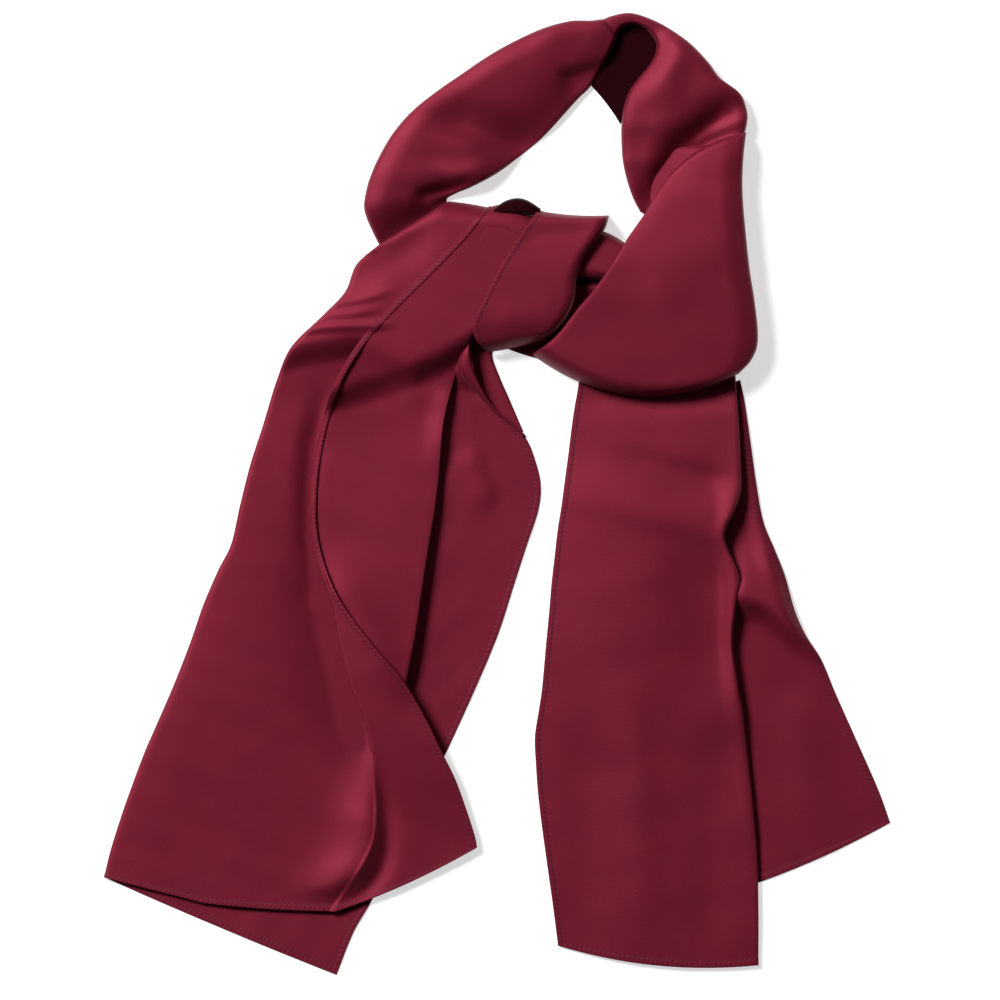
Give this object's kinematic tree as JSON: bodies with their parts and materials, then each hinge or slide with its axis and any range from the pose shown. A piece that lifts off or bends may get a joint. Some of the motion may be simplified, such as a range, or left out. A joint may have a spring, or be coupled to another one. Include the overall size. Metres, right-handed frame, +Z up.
{
  "type": "silk scarf",
  "caption": "Long silk scarf with a narrow stitched hem, lying flat in a loop tied with a loose half knot, its folded ends spread below.",
  "frame": {"origin": "centre of the bounding box's underside, on the surface that the scarf lies on", "axes": "+Z up from the surface, +Y from the tails towards the loop, +X to the right when seen from above"},
  "size_m": [0.5507, 0.673, 0.0292],
  "materials": {
    "silk": "soft satin"
  },
  "bodies": {
    "root": {"knot_band": "silk", "knot_filling": "silk", "knot_lower_strand": "silk", "knot_strand": "silk", "left_tail_back": "silk", "left_tail_filling": "silk", "left_tail_front": "silk", "loop_crown": "silk", "loop_crown_filling": "silk", "loop_left": "silk", "loop_left_filling": "silk", "loop_lining": "silk", "loop_right": "silk", "loop_right_filling": "silk", "right_tail_back": "silk", "right_tail_filling": "silk", "right_tail_front": "silk"}
  },
  "joints": []
}
